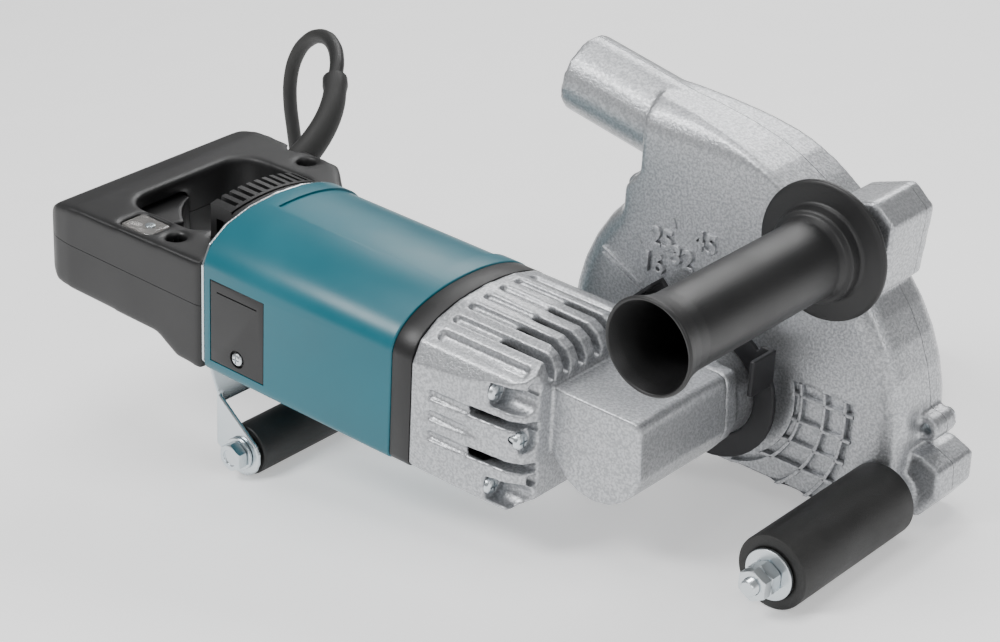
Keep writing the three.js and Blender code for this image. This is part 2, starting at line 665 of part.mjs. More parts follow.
const rearWasher = () => ring("y", 8.5, M8 + GAP, CHEEK.near - 1.9, CHEEK.near - GAP, onRear, 20);
const rearNut = () => hexagon("y", 7.5, CHEEK.far + GAP, CHEEK.far + 5.8, onRear, M8 + GAP);

// ---------------------------------------------------------------- handle

function loopOutline() {
  const shape = new THREE.Shape();
  shape.moveTo(HANDLE_FRONT, HANDLE_NEAR).lineTo(HANDLE_REAR + 24, HANDLE_NEAR);
  shape.quadraticCurveTo(HANDLE_REAR, HANDLE_NEAR, HANDLE_REAR, HANDLE_NEAR + 24);
  shape.lineTo(HANDLE_REAR + 2, HANDLE_FAR - 20);
  shape.quadraticCurveTo(HANDLE_REAR + 4, HANDLE_FAR, HANDLE_REAR + 26, HANDLE_FAR);
  shape.lineTo(HANDLE_FRONT, HANDLE_FAR - 6);
  return shape;
}

function loopHole(inset) {
  const r = Math.max(14 - inset, 2);
  return roundedRectangle(LOOP.rear - inset, LOOP.near - inset, LOOP.front + inset, LOOP.far + inset, r);
}

function handleSide(inset) {
  const shape = new THREE.Shape();
  shape.moveTo(HANDLE_FRONT + 1, -40 + inset).lineTo(-242, -39 + inset).lineTo(-256, -31 + inset);
  shape.lineTo(HANDLE_REAR + 12, -30 + inset);
  shape.quadraticCurveTo(HANDLE_REAR + inset, -29 + inset, HANDLE_REAR - 1 + inset, -12);
  shape.quadraticCurveTo(HANDLE_REAR + inset, 15 - inset, HANDLE_REAR + 26, 16 - inset);
  shape.lineTo(HANDLE_FRONT + 1, 19 - inset);
  return shape;
}

const INLET = { rear: -243, near: -92.6, far: -20 };

// The far front corner slopes from the arm's side in to the motor body's side.
const SLOPE = { start: [-262, 17], fall: 0.9 };

function farCorner(wall) {
  const [x, y] = SLOPE.start;
  const steep = Math.hypot(1, SLOPE.fall);
  const drawIn = ([px, py]) => [px - (wall * SLOPE.fall) / steep, py - wall / steep];
  const reach = 62;
  const points = [[x, y], [x + reach, y - reach * SLOPE.fall], [x + reach, y + 40], [x, y + 40]];
  return prism("z", points.map(drawIn), -62, 42);
}

// Where the loop's outline curves round its near rear corner, the hollow stops short of it.
function nearCorner(wall) {
  const leg = 12 + wall * 1.6;
  const [x, y] = [HANDLE_REAR, HANDLE_NEAR];
  return prism("z", [[x - 5, y + leg + 5], [x - 5, y - 5], [x + leg + 5, y - 5]], -62, 42);
}

function handleSolid() {
  const loop = cut(prism("z", loopOutline(), -60, 40), prism("z", loopHole(0), -61, 41));
  const inletWay = block([INLET.rear - GAP, INLET.near - GAP, -60], [0, INLET.far + GAP, 60]);
  return cut(meet(loop, prism("y", handleSide(0), -130, 30)), inletWay, farCorner(0));
}

// The hollow inside both shells: the loop drawn in by the wall, closed at its front by the bracket.
function handleHollow() {
  const wall = 3;
  const body = prism("z", loopOutline(), -60, 40);
  const drawnIn = meet(body, prism("y", handleSide(wall), HANDLE_NEAR + wall, HANDLE_FAR - wall - 6));
  const front = block([HANDLE_FRONT - wall, -130, -60], [0, 30, 60]);
  const rear = block([HANDLE_REAR - 5, -130, -60], [HANDLE_REAR + wall + 3, 30, 60]);
  const inlet = block([INLET.rear - wall, INLET.near - wall, -61], [1, INLET.far + wall, 61]);
  const corners = [farCorner(wall), nearCorner(wall)];
  return cut(drawnIn, prism("z", loopHole(wall), -61, 41), front, rear, inlet, ...corners);
}

const TRIGGER = { rear: -309, tip: -281, near: -88, far: -52, low: -14, high: 6 };
const HANDLE_SCREWS = [{ x: -272, y: 4 }, { x: -254, y: -105 }];
const LENS_SEAT = { x0: -286, x1: -266, y0: -112, y1: -97 };

function handleShell(upper) {
  const keep = upper ? [HANDLE_SPLIT + GAP / 2, 60] : [-60, HANDLE_SPLIT - GAP / 2];
  const half = block([-400, -140, keep[0]], [0, 60, keep[1]]);
  const triggerWay = block(
    [TRIGGER.rear, TRIGGER.near - 1, TRIGGER.low - 1],
    [LOOP.rear + 6, TRIGGER.far + 1, TRIGGER.high + 1],
  );
  const glandWay = join(sleeve(0.5), taper([-300, -5, -6], BOOT.getPoint(0.1).toArray(), 9, 9.2, 12));
  const posts = HANDLE_SCREWS.map(({ x, y }) => rod("z", 5.5, -45, 20, [x, y, 0], 16));
  const ways = HANDLE_SCREWS.map(({ x, y }) => rod("z", M5 + GAP, -60, 20, [x, y, 0], 12));
  const sinks = HANDLE_SCREWS.map(({ x, y }) => rod("z", 5, 6, 40, [x, y, 0], 16));
  const { x0, x1, y0, y1 } = LENS_SEAT;
  const lensWay = block([x0 - GAP, y0 - GAP, 13], [x1 + GAP, y1 + GAP, 30]);
  const buttonWay = rod("z", 5 + GAP, -60, -20, LOCK_AT, 16);
  const hollow = cut(handleHollow(), ...posts);
  const screwWays = [...ways, ...sinks];
  return cut(meet(handleSolid(), half), hollow, triggerWay, glandWay, ...screwWays, lensWay, buttonWay);
}

function handleScrew({ x, y }) {
  return screw("z", [x, y, 0], 6 + GAP, -1, M5, 26);
}

const LOCK_AT = [-322, -100, 0];

function trigger() {
  const shape = new THREE.Shape();
  shape.moveTo(TRIGGER.rear + 1, TRIGGER.far).lineTo(-300, TRIGGER.far);
  shape.quadraticCurveTo(-296, -64, TRIGGER.tip, -74);
  shape.quadraticCurveTo(-285, -84, -296, TRIGGER.near);
  shape.lineTo(TRIGGER.rear + 1, TRIGGER.near);
  return prism("z", shape, TRIGGER.low, TRIGGER.high);
}

const switchBody = () => block([-331, -86, -22], [-318, -46, 8]);
const lockButton = () => turned("z", [[0, -37], [3.8, -37], [5, -35.5], [5, -23], [0, -23]], LOCK_AT, 16);

function indicatorLens() {
  const { x0, x1, y0, y1 } = LENS_SEAT;
  return block([x0, y0, 13.4], [x1, y1, 17.6]);
}

// The air inlet closes the motor's rear between the handle's arms; teeth along its top let air in.
function airInlet() {
  const { rear, near, far } = INLET;
  const body = meet(
    prism("x", motorSection(2), rear, HANDLE_FRONT),
    block([rear - 1, near, -60], [HANDLE_FRONT + 1, far, 60]),
  );
  const hollow = prism("x", motorSection(8), rear + 4, HANDLE_FRONT + 1);
  const notches = range(7).map((i) => {
    const y = near + 8 + (i * (far - near - 16)) / 6;
    return block([rear - 1, y - 1.8, 30], [rear + 12, y + 1.8, 50]);
  });
  return cut(body, hollow, ...notches);
}

// ---------------------------------------------------------------- mains lead

// The sleeve leaves the far arm level and curves up to its tip.
const BOOT = new THREE.QuadraticBezierCurve3(
  new THREE.Vector3(-290, 10, 4),
  new THREE.Vector3(-276, 32, 29),
  new THREE.Vector3(-299, 53, 40),
);

function sleeve(grow) {
  const steps = 3;
  const thickness = (t) => 8.5 - 2.5 * t + grow;
  const links = range(steps).map((i) => {
    const [t0, t1] = [i / steps, (i + 1) / steps];
    const [start, end] = [BOOT.getPoint(t0).toArray(), BOOT.getPoint(t1).toArray()];
    return taper(start, end, thickness(t0), thickness(t1), 12);
  });
  return join(...links);
}

const strainRelief = () => sleeve(0);

// The lead rises from the sleeve, falls behind the handle and runs along the floor to its coil.
const CORD_ROUTE = [
  [-170, 92.1, 150.4], [-175.7, 100.5, 156.7], [-186.7, 109.6, 162.4], [-201.4, 116.3, 163.3],
  [-216.4, 120, 158], [-228.1, 121.4, 147.8], [-235, 121.4, 135], [-237.5, 120.8, 120.9],
  [-237.3, 120.6, 103], [-236.8, 120.6, 84], [-237, 121.1, 65], [-235, 121.6, 46],
  [-227.5, 122, 29.5], [-214, 121.6, 16], [-197, 120.6, 7.5], [-178, 118.6, 4.6],
  [-152, 115, 4.3], [-115, 109.5, 4.3], [-75, 103.5, 4.3], [-30, 98.6, 4.3], [15, 96.2, 4.3],
  [59.5, 96, 4.3],
].map((point) => new THREE.Vector3(...point));
const COIL_AT = [90, 150];

function powerCord() {
  const section = new THREE.Shape();
  section.absarc(0, 0, CORD_R, 0, 2 * Math.PI);
  const extrudePath = new THREE.CatmullRomCurve3(CORD_ROUTE, false, "centripetal");
  return solid(new THREE.ExtrudeGeometry(section, { steps: 44, curveSegments: 4, extrudePath }));
}

function cordCoil() {
  const [inner, outer] = [COIL_TURN_R - COIL_HALF_WIDTH, COIL_TURN_R + COIL_HALF_WIDTH];
  return ring("z", outer, inner, 0.2, COIL_HEIGHT, [...COIL_AT, 0], 24);
}

// Two-pin plug, lying on the floor where the last turn leaves the coil.
const PLUG = { end: 57, nose: 4, y: 204, z: 18.4, r: 18 };

function plug() {
  const { end, nose, y, z, r } = PLUG;
  const profile = [[0, nose], [r, nose], [r, nose + 24], [8, nose + 36], [6, end], [0, end]];
  const pins = [-9.5, 9.5].map((side) => rod("x", 2.4, nose - 19, nose + 1, [0, y + side, z], 10));
  return join(turned("x", profile, [0, y, z], 20), ...pins);
}

// ---------------------------------------------------------------- assembly

const tool = new THREE.Group();

function add(name, manifold, material, group = tool) {
  const made = manifold.getMesh();
  const geometry = new THREE.BufferGeometry();
  geometry.setAttribute("position", new THREE.BufferAttribute(made.vertProperties, 3));
  geometry.setIndex(new THREE.BufferAttribute(made.triVerts, 1));
  geometry.computeVertexNormals();
  const mesh = new THREE.Mesh(geometry, material);
  mesh.name = name;
  group.add(mesh);
}

add("motor_housing", motorHousing(), TEAL);
for (const [name, side] of [["near", -1], ["far", 1]]) {
  add(`brush_cover_${name}`, brushCover(side), BLACK);
  add(`brush_cover_screw_${name}`, brushCoverScrew(side), ZINC);
  add(`carbon_brush_${name}`, carbonBrush(side), CARBON);
}
add("stator", stator(), IRON);
add("field_winding", fieldWinding(), COPPER);
add("armature", armature(), IRON);
add("commutator", commutator(), COPPER);
add("cooling_fan", coolingFan(), BLACK);
add("pinion", pinion(), STEEL);
add("rear_bearing", shaftBearing(REAR_BEARING_R, MOTOR_REAR + 0.5, MOTOR_REAR + 7.5), STEEL);
add("front_bearing", shaftBearing(FRONT_BEARING.r, FRONT_BEARING.rear, FRONT_BEARING.front - GAP), STEEL);
add("baffle_ring", baffleRing(), BLACK);
add("gear_housing", gearHousing(), CASTING);
CORNER_SCREWS.forEach((place, i) => add(`gear_housing_screw_${i + 1}`, cornerScrew(place), ZINC));
add("bearing_box", bearingBox(), CASTING);
add("shaft_lock_button", shaftLockButton(), BLACK);
add("spindle", spindle(), STEEL);
add("ring_gear", ringGear(), STEEL);
add("spindle_rear_bearing", spindleBearing(9, 5, HEAD_NEAR + 5.5, HEAD_NEAR + 14), STEEL);
add("spindle_front_bearing", spindleBearing(17, 8, -31, -18.3), STEEL);
add("inner_flange", innerFlange(), STEEL);
add("clamp_nut", clampNut(), STEEL);
add("guard_body", guardBody(), CASTING);
add("guard_cover", guardCover(), CASTING);
SCREW_LUGS.forEach((degrees, i) => add(`guard_screw_${i + 1}`, guardScrew(degrees), ZINC));
add("side_grip", sideGrip(), BLACK);
add("side_grip_bolt", gripBolt(), ZINC);
add("depth_lever", depthLever(), BLACK_STEEL);
add("front_roller", roller(FRONT_ROLLER, onFront), RUBBER);
add("front_roller_axle", frontAxle(), ZINC);
add("front_roller_washer", frontWasher(), ZINC);
add("front_roller_nut", frontNut(), ZINC);
add("front_roller_lock_nut", frontLockNut(), ZINC);
add("rear_roller_bracket", rollerBracket(), ZINC);
add("rear_roller", roller(REAR_ROLLER, onRear), RUBBER);
add("rear_roller_bolt", rearBolt(), ZINC);
add("rear_roller_washer", rearWasher(), ZINC);
add("rear_roller_nut", rearNut(), ZINC);
add("handle_upper_shell", handleShell(true), BLACK);
add("handle_lower_shell", handleShell(false), BLACK);
HANDLE_SCREWS.forEach((place, i) => add(`handle_screw_${i + 1}`, handleScrew(place), ZINC));
add("trigger", trigger(), BLACK);
add("switch_body", switchBody(), BLACK);
add("lock_button", lockButton(), BLACK);
add("indicator_lens", indicatorLens(), LENS);
add("air_inlet", airInlet(), BLACK);
add("strain_relief", strainRelief(), RUBBER);

// Both rollers touch the floor: the tool pitches nose down until their lowest points are level.
const wheelbase = new THREE.Vector2(FRONT_ROLLER.x - REAR_ROLLER.x, FRONT_ROLLER.z - REAR_ROLLER.z);
tool.rotation.y = wheelbase.angle() - Math.asin((FRONT_ROLLER.r - REAR_ROLLER.r) / wheelbase.length());

// The origin is the middle of the tool's foot print, on the floor.
const extent = new THREE.Box3().setFromObject(tool, true);
const middle = extent.getCenter(new THREE.Vector3());
tool.position.set(-middle.x, -middle.y, -extent.min.z);

const wallChaser = new THREE.Group();
wallChaser.add(tool);
add("power_cord", powerCord(), RUBBER, wallChaser);
add("cord_coil", cordCoil(), RUBBER, wallChaser);
add("plug", plug(), RUBBER, wallChaser);

export default wallChaser;
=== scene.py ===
"""Wall chaser: the looks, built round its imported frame."""

import json
import math

import bmesh
import bpy
from mathutils import Matrix, Vector


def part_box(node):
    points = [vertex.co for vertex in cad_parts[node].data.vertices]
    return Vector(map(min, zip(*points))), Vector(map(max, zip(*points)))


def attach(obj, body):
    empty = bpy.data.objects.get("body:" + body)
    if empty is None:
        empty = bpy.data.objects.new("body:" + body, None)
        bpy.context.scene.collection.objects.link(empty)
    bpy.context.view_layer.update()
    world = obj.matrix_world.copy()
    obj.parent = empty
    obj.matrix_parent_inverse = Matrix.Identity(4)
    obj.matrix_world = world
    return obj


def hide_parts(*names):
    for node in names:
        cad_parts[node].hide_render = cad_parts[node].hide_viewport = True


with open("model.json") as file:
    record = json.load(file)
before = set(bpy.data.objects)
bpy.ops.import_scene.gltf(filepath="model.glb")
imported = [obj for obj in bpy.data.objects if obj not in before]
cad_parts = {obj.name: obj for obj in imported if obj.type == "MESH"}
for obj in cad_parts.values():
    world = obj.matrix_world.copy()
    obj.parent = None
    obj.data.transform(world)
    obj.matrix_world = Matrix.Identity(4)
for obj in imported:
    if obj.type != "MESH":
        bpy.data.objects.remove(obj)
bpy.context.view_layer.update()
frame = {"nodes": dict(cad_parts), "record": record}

MM = 0.001
JOINTS = {joint["name"]: joint for joint in frame["record"]["behaviour"]["joints"]}

# The tool's own axes: X runs forward along the motor, Y along the spindle, Z up, from the spindle's middle.
FORWARD = Vector(JOINTS["armature_spin"]["axis"])
SPINDLE = Vector(JOINTS["spindle_spin"]["axis"])
UPRIGHT = FORWARD.cross(SPINDLE)
TOOL = Matrix.Translation(JOINTS["spindle_spin"]["pos_m"]) @ Matrix((FORWARD, SPINDLE, UPRIGHT)).transposed().to_4x4()
TOOL = TOOL @ Matrix.Scale(MM, 4)  # pieces are drawn in millimetres


# ---------------------------------------------------------------- camera, floor and light

def look_from(place, azimuth, elevation, roll, lens):
    camera = bpy.data.objects.new("camera", bpy.data.cameras.new("camera"))
    camera.data.lens = lens
    camera.data.clip_start = 0.05
    turn = Matrix.Rotation(math.radians(azimuth), 4, "Z")
    turn = turn @ Matrix.Rotation(math.radians(90 - elevation), 4, "X")
    camera.matrix_world = Matrix.Translation(place) @ turn @ Matrix.Rotation(math.radians(roll), 4, "Z")
    bpy.context.scene.collection.objects.link(camera)
    bpy.context.scene.camera = camera


look_from((0.8233, -0.8793, 0.5505), 42.542, 21.496, -5.309, 97.7)


def area_light(name, place, aim, size, power, colour=(1, 1, 1)):
    light = bpy.data.objects.new(name, bpy.data.lights.new(name, "AREA"))
    light.data.shape = "RECTANGLE"
    light.data.size, light.data.size_y = size
    light.data.energy = power
    light.data.color = colour
    light.location = place
    light.rotation_euler = (Vector(aim) - Vector(place)).to_track_quat("-Z", "Y").to_euler()
    bpy.context.scene.collection.objects.link(light)


def studio():
    area_light("key", (-0.5, -1.1, 1.5), (0, 0, 0.1), (0.8, 0.5), 25)
    area_light("side", (1.7, -0.5, 0.9), (0.05, 0, 0.1), (0.5, 1.2), 9)
    area_light("back", (-0.4, 1.6, 1.5), (0, 0, 0.1), (1.6, 0.7), 24)
    area_light("top", (0.1, 0.0, 2.0), (0, 0, 0), (1.2, 1.2), 16)
    world = bpy.data.worlds.new("studio")
    bpy.context.scene.world = world
    world.use_nodes = True
    world.node_tree.nodes["Background"].inputs["Color"].default_value = (1, 1, 1, 1)
    world.node_tree.nodes["Background"].inputs["Strength"].default_value = 0.3


studio()


# ---------------------------------------------------------------- shared shader effects

def group_of(name, inputs, outputs):
    tree = bpy.data.node_groups.new(name, "ShaderNodeTree")
    for label, kind, value in inputs:
        socket = tree.interface.new_socket(label, in_out="INPUT", socket_type=kind)
        if value is not None:
            socket.default_value = value
    for label, kind in outputs:
        tree.interface.new_socket(label, in_out="OUTPUT", socket_type=kind)
    return tree, tree.nodes.new("NodeGroupInput"), tree.nodes.new("NodeGroupOutput")


def noise(tree, scale, detail=3.0, roughness=0.5):
    node = tree.nodes.new("ShaderNodeTexNoise")
    node.inputs["Detail"].default_value = detail
    node.inputs["Roughness"].default_value = roughness
    if not hasattr(scale, "default_value"):
        node.inputs["Scale"].default_value = scale
    else:
        tree.links.new(scale, node.inputs["Scale"])
    return node


def remap(tree, value, low, high, to_low, to_high):
    node = tree.nodes.new("ShaderNodeMapRange")
    node.inputs["From Min"].default_value = low
    node.inputs["From Max"].default_value = high
    for label, amount in (("To Min", to_low), ("To Max", to_high)):
        if hasattr(amount, "default_value"):
            tree.links.new(amount, node.inputs[label])
        else:
            node.inputs[label].default_value = amount
    tree.links.new(value, node.inputs["Value"])
    return node.outputs["Result"]


def mixed(tree, factor, first, second):
    node = tree.nodes.new("ShaderNodeMix")
    node.data_type = "RGBA"
    tree.links.new(factor, node.inputs["Factor"])
    for socket, colour in ((node.inputs[6], first), (node.inputs[7], second)):
        if hasattr(colour, "default_value"):
            tree.links.new(colour, socket)
        else:
            socket.default_value = (*colour, 1)
    return node.outputs[2]


def make_mottle():
    """Blotches of two tones, with the height that goes with them."""
    tree, source, result = group_of(
        "mottle",
        [("Vector", "NodeSocketVector", None), ("Scale", "NodeSocketFloat", 300.0),
         ("Light", "NodeSocketColor", None), ("Dark", "NodeSocketColor", None)],
        [("Color", "NodeSocketColor"), ("Height", "NodeSocketFloat"), ("Mask", "NodeSocketFloat")],
    )
    blotch = noise(tree, source.outputs["Scale"], 4.0, 0.62)
    tree.links.new(source.outputs["Vector"], blotch.inputs["Vector"])
    mask = remap(tree, blotch.outputs["Fac"], 0.42, 0.6, 0.0, 1.0)
    tree.links.new(mixed(tree, mask, source.outputs["Dark"], source.outputs["Light"]), result.inputs["Color"])
    tree.links.new(blotch.outputs["Fac"], result.inputs["Height"])
    tree.links.new(mask, result.inputs["Mask"])
    return tree


def make_grain():
    """Fine moulded or brushed grain, with slow changes of tone from handling."""
    tree, source, result = group_of(
        "grain",
        [("Vector", "NodeSocketVector", None), ("Scale", "NodeSocketFloat", 3000.0),
         ("Base", "NodeSocketColor", None), ("Worn", "NodeSocketColor", None),
         ("Smooth", "NodeSocketFloat", 0.35), ("Rough", "NodeSocketFloat", 0.5)],
        [("Color", "NodeSocketColor"), ("Roughness", "NodeSocketFloat"), ("Height", "NodeSocketFloat")],
    )
    fine = noise(tree, source.outputs["Scale"], 2.0)
    slow = noise(tree, 22.0, 4.0)
    for node in (fine, slow):
        tree.links.new(source.outputs["Vector"], node.inputs["Vector"])
    worn = remap(tree, slow.outputs["Fac"], 0.35, 0.75, 0.0, 1.0)
    tree.links.new(mixed(tree, worn, source.outputs["Base"], source.outputs["Worn"]), result.inputs["Color"])
    rough = remap(tree, slow.outputs["Fac"], 0.3, 0.7, source.outputs["Smooth"], source.outputs["Rough"])
    tree.links.new(rough, result.inputs["Roughness"])
    tree.links.new(fine.outputs["Fac"], result.inputs["Height"])
    return tree


MOTTLE = make_mottle()
GRAIN = make_grain()


class Finish:
    """A material with its Principled shader and Object coordinates at hand."""

    def __init__(self, name, metallic=0.0, **constants):
        self.material = bpy.data.materials.new(name)
        self.material.use_nodes = True
        self.tree = self.material.node_tree
        self.shader = self.tree.nodes["Principled BSDF"]
        self.shader.inputs["Metallic"].default_value = metallic
        for label, value in constants.items():
            self.shader.inputs[label.replace("_", " ")].default_value = value
        self.where = self.tree.nodes.new("ShaderNodeTexCoord").outputs["Object"]

    def group(self, tree, **values):
        node = self.tree.nodes.new("ShaderNodeGroup")
        node.node_tree = tree
        self.tree.links.new(self.where, node.inputs["Vector"])
        for label, value in values.items():
            node.inputs[label].default_value = (*value, 1) if isinstance(value, tuple) else value
        return node

    def stretch(self, scale):
        mapping = self.tree.nodes.new("ShaderNodeMapping")
        mapping.inputs["Scale"].default_value = scale
        self.tree.links.new(self.where, mapping.inputs["Vector"])
        self.where = mapping.outputs["Vector"]

    def colour(self, socket):
        self.tree.links.new(socket, self.shader.inputs["Base Color"])

    def roughness(self, socket):
        self.tree.links.new(socket, self.shader.inputs["Roughness"])

    def bump(self, height, strength, distance):
        node = self.tree.nodes.new("ShaderNodeBump")
        node.inputs["Strength"].default_value = strength
        node.inputs["Distance"].default_value = distance
        self.tree.links.new(height, node.inputs["Height"])
        self.tree.links.new(node.outputs["Normal"], self.shader.inputs["Normal"])


def grained(name, base, worn, smooth, rough, scale, strength, distance, metallic=0.0, stretch=None, **constants):
    finish = Finish(name, metallic, **constants)
    if stretch:
        finish.stretch(stretch)
    grain = finish.group(GRAIN, Scale=scale, Base=base, Worn=worn, Smooth=smooth, Rough=rough)
    finish.colour(grain.outputs["Color"])
    finish.roughness(grain.outputs["Roughness"])
    finish.bump(grain.outputs["Height"], strength, distance)
    return finish.material


def hammertone():
    finish = Finish("hammertone_silver", 0.8, Coat_Weight=0.55)
    finish.shader.inputs["Coat Roughness"].default_value = 0.18
    blotches = finish.group(MOTTLE, Scale=780.0, Light=(0.53, 0.54, 0.56), Dark=(0.35, 0.36, 0.375))
    finish.colour(blotches.outputs["Color"])
    finish.roughness(remap(finish.tree, blotches.outputs["Mask"], 0.0, 1.0, 0.44, 0.3))
    finish.bump(blotches.outputs["Height"], 0.5, 0.0006)
    return finish.material


def clear_plastic():
    finish = Finish("clear_lens", 0.0, IOR=1.49, Transmission_Weight=0.85)
    grain = finish.group(GRAIN, Scale=900.0, Base=(0.72, 0.7, 0.68), Worn=(0.6, 0.58, 0.56), Smooth=0.05, Rough=0.14)
    finish.colour(grain.outputs["Color"])
    finish.roughness(grain.outputs["Roughness"])
    return finish.material


MATERIALS = {
    "teal_plastic": grained(
        "teal_nylon", (0.003, 0.11, 0.148), (0.005, 0.126, 0.168), 0.3, 0.42, 2600.0, 0.12, 0.0002),
    "black_plastic": grained(
        "black_nylon", (0.007, 0.007, 0.0075), (0.012, 0.012, 0.0125), 0.36, 0.5, 2200.0, 0.25, 0.0003),
    "casting": hammertone(),
    "zinc": grained(
        "zinc_plate", (0.6, 0.66, 0.69), (0.72, 0.75, 0.77), 0.2, 0.34, 1500.0, 0.12, 0.0001, metallic=1.0),
    "steel": grained(
        "ground_steel", (0.42, 0.43, 0.44), (0.55, 0.56, 0.57), 0.22, 0.38, 1100.0, 0.15, 0.0001,
        metallic=1.0, stretch=(1, 6, 6)),
    "black_steel": grained(
        "blackened_steel", (0.016, 0.016, 0.018), (0.03, 0.03, 0.032), 0.34, 0.5, 1300.0, 0.2, 0.0002, metallic=0.5),
    "copper": grained(
        "copper_wire", (0.6, 0.24, 0.11), (0.42, 0.16, 0.08), 0.28, 0.45, 900.0, 0.3, 0.0003,
        metallic=1.0, stretch=(5, 1, 1)),
    "carbon": grained(
        "pressed_carbon", (0.03, 0.03, 0.03), (0.05, 0.05, 0.05), 0.6, 0.8, 2500.0, 0.4, 0.0003),
    "rubber": grained(
        "black_rubber", (0.008, 0.008, 0.008), (0.022, 0.022, 0.021), 0.42, 0.7, 1800.0, 0.45, 0.0004),
    "clear_lens": clear_plastic(),
}
SLOTS = {sub["node"]: sub["material_slot"] for sub in frame["record"]["subparts"]}
BODIES = {node: body for body, nodes in frame["record"]["behaviour"]["bodies"].items() for node in nodes}

for node, slot in SLOTS.items():
    carried = frame["nodes"][node]
    carried.data.materials.clear()
    carried.data.materials.append(MATERIALS[slot])


# ---------------------------------------------------------------- mesh helpers

SOFT_ANGLE = math.radians(38)


def to_piece(name, mesh, slot, body, replaced=(), sharp=SOFT_ANGLE):
    """A finished mesh in the row's frame becomes a piece that rides on a body."""
    mesh.name = name
    mesh.materials.clear()
    mesh.materials.append(MATERIALS[slot])
    for face in mesh.polygons:
        face.use_smooth = True
    if sharp:
        mesh.set_sharp_from_angle(angle=sharp)
    piece = bpy.data.objects.new(name, mesh)
    bpy.context.scene.collection.objects.link(piece)
    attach(piece, body)
    if replaced:
        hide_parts(*replaced)
    return piece


def from_bmesh(name, bm, slot, body, replaced=(), place=TOOL, sharp=SOFT_ANGLE):
    bm.transform(place)
    bmesh.ops.remove_doubles(bm, verts=bm.verts, dist=1e-6)
    bmesh.ops.recalc_face_normals(bm, faces=bm.faces)
    mesh = bpy.data.meshes.new(name)
    bm.to_mesh(mesh)
    bm.free()
    return to_piece(name, mesh, slot, body, replaced, sharp)


def in_place_of(node, bm, place=TOOL, sharp=SOFT_ANGLE, name=None):
    return from_bmesh(name or node + "_fine", bm, SLOTS[node], BODIES[node], [node], place, sharp)


AXIS_VECTORS = {"x": Vector((1, 0, 0)), "y": Vector((0, 1, 0)), "z": Vector((0, 0, 1))}
AWAY_VECTORS = {"x": Vector((0, 1, 0)), "y": Vector((0, 0, 1)), "z": Vector((1, 0, 0))}


def spin(bm, axis, centre, profile, steps=64):
    """Turns a closed profile of (radius, place along the axis) about a line through the centre."""
    along, away, centre = AXIS_VECTORS[axis], AWAY_VECTORS[axis], Vector(centre)
    base = centre - along * centre.dot(along)
    verts = [bm.verts.new(base + away * r + along * v) for r, v in profile]
    closed = profile[0][0] > 1e-6 or profile[-1][0] > 1e-6
    pairs = list(zip(verts, verts[1:] + verts[:1] if closed else verts[1:]))
    edges = [bm.edges.new(pair) for pair in pairs if pair[0] != pair[1]]
    bmesh.ops.spin(bm, geom=verts + edges, cent=base, axis=along, angle=2 * math.pi, steps=steps,
                   use_merge=True, use_duplicate=False, dvec=(0, 0, 0))
    bmesh.ops.remove_doubles(bm, verts=bm.verts, dist=1e-4)
    return bm


def rounded(profile, radius, segments=4):
    """Rounds the corners of a profile's points, apart from those on the axis."""
    points = [Vector(p) for p in profile]
    result = []
    count = len(points)
    on_axis = points[0].x < 1e-6 and points[-1].x < 1e-6
    for i, point in enumerate(points):
        if on_axis and i in (0, count - 1):
            result.append(tuple(point))
            continue
        before, after = points[i - 1], points[(i + 1) % count]
        reach = min(radius, 0.45 * (before - point).length, 0.45 * (after - point).length)
        start = point + (before - point).normalized() * reach
        end = point + (after - point).normalized() * reach
        for k in range(segments + 1):
            t = k / segments
            result.append(tuple(start * (1 - t) ** 2 + point * 2 * t * (1 - t) + end * t * t))
    return result


def turned(axis, centre, profile, radius=0.5, steps=64):
    return spin(bmesh.new(), axis, centre, rounded(profile, radius), steps)


def block(bm, low, high):
    """A box between two corners, added to a bmesh."""
    low, high = Vector(low), Vector(high)
    place = Matrix.Translation((low + high) / 2) @ Matrix.Diagonal((*(high - low), 1))
    return bmesh.ops.create_cube(bm, size=1.0, matrix=place)["verts"]


def softened(bm, width, segments=3, angle=30):
    edges = [e for e in bm.edges if e.is_manifold and e.calc_face_angle(0) > math.radians(angle)]
    bmesh.ops.bevel(bm, geom=edges, offset=width, offset_type="OFFSET", affect="EDGES", segments=segments,
                    profile=0.5, material=-1, clamp_overlap=True)
    return bm


def scratch(bm, name="scratch"):
    """A bmesh as a loose object, for a modifier to work on."""
    mesh = bpy.data.meshes.new(name)
    bm.to_mesh(mesh)
    bm.free()
    loose = bpy.data.objects.new(name, mesh)
    bpy.context.scene.collection.objects.link(loose)
    return loose


def applied(loose):
    """The mesh that a loose object's modifiers give; the object itself goes."""
    graph = bpy.context.evaluated_depsgraph_get()
    mesh = bpy.data.meshes.new_from_object(loose.evaluated_get(graph))
    bm = bmesh.new()
    bm.from_mesh(mesh)
    bpy.data.objects.remove(loose)
    bpy.data.meshes.remove(mesh)
    return bm


def carved(base, cutter, operation="DIFFERENCE"):
    """Cuts one bmesh by another, or joins them."""
    for shape in (base, cutter):
        bmesh.ops.recalc_face_normals(shape, faces=shape.faces)
    whole, tool = scratch(base), scratch(cutter)
    change = whole.modifiers.new("cut", "BOOLEAN")
    change.operation, change.object, change.solver = operation, tool, "EXACT"
    result = applied(whole)
    bpy.data.objects.remove(tool)
    return result


TO_TOOL = TOOL.inverted()


def cad_shape(*nodes):
    """The CAD solids of some nodes as one bmesh in the tool's frame, their doubles merged."""
    bm = bmesh.new()
    for node in nodes:
        bm.from_mesh(frame["nodes"][node].data)
    bm.transform(TO_TOOL)
    bmesh.ops.remove_doubles(bm, verts=bm.verts, dist=1e-3)
    return bm


